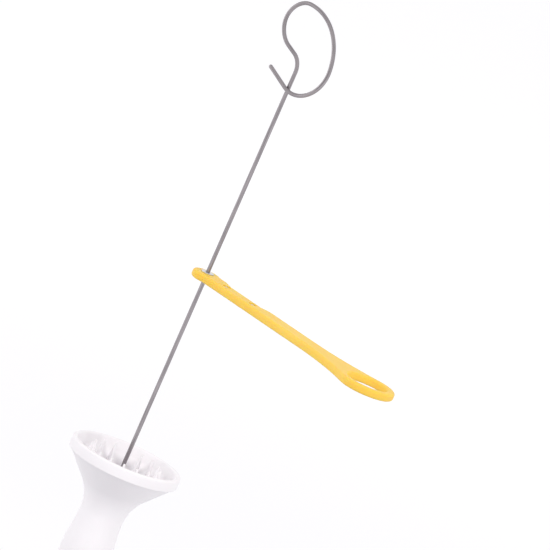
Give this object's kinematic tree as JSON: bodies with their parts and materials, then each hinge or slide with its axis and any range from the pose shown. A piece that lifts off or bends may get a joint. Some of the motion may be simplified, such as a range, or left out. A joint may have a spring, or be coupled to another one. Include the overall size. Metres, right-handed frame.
{
  "type": "tornado potato cutter",
  "caption": "Hand potato spiral cutter: white toothed cup with hollow grip, steel skewer with a bent finger loop, and an orange sliding knife with a finger ring.",
  "frame": {"origin": "centre of the grip's open end", "axes": "+Z along the skewer from the grip to the finger loop, +X along the knife towards its finger ring, +Y on the side the blade cuts towards"},
  "size_m": [0.1635, 0.056, 0.335],
  "materials": {
    "white_plastic": "glossy moulded, pure white",
    "orange_plastic": "satin moulded, warm yellow-orange",
    "wire_steel": "drawn and polished stainless wire",
    "blade_steel": "fine brushed strip with a ground edge",
    "rivet_steel": "plain bright steel"
  },
  "bodies": {
    "holder": {"potato_holder": "white_plastic"},
    "skewer": {"skewer": "wire_steel"},
    "runner": {"hub_eyelet": "rivet_steel"},
    "knife": {"knife_body": "orange_plastic", "blade": "blade_steel", "blade_rivets": "rivet_steel"}
  },
  "joints": [
    {"name": "skewer_lift", "type": "slide", "parent": "holder", "child": "skewer", "axis": [0, 0, 1], "range_m": [0, 0.02]},
    {"name": "knife_travel", "type": "slide", "parent": "skewer", "child": "runner", "axis": [0, 0, 1], "range_m": [-0.0914, 0.0938]},
    {"name": "knife_turn", "type": "hinge", "parent": "runner", "child": "knife", "pos_m": [0, 0, 0.1954], "axis": [0, 0, 1], "continuous": true}
  ]
}
